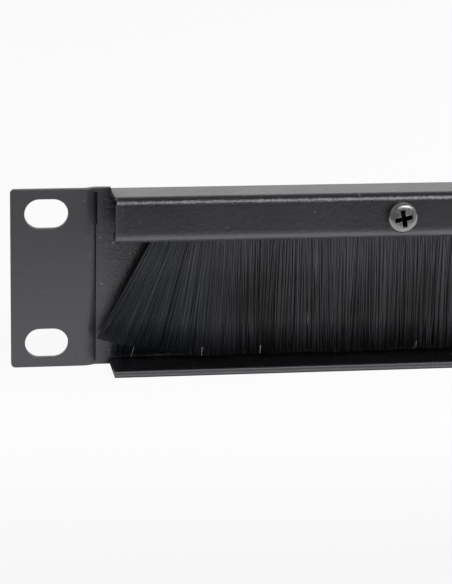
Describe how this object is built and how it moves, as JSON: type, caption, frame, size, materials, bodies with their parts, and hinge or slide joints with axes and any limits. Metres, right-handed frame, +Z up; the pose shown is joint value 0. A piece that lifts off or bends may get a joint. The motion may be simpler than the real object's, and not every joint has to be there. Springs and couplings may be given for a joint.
{
  "type": "rack brush strip panel",
  "caption": "One-unit rack panel of folded black steel, with a long cable opening behind a hanging strip of bristles, and slotted ears.",
  "frame": {"origin": "centre of the four rack slots, in the face of the ears that meets the rack's rails", "axes": "+X along the panel's width, +Z up, -Y out of the side where the brush and its screws are"},
  "size_m": [0.482, 0.015, 0.0436],
  "materials": {
    "powder_coat": "fine textured satin black powder coat",
    "holder_aluminium": "plain extruded",
    "wire_steel": "bright drawn",
    "bristle_nylon": "semi-matt black nylon filament",
    "screw_steel": "dark nickel plated"
  },
  "bodies": {
    "root": {"panel": "powder_coat", "brush_holder": "holder_aluminium", "core_wire": "wire_steel", "bristles": "bristle_nylon", "screw_1": "screw_steel", "screw_2": "screw_steel", "screw_3": "screw_steel"}
  },
  "joints": []
}
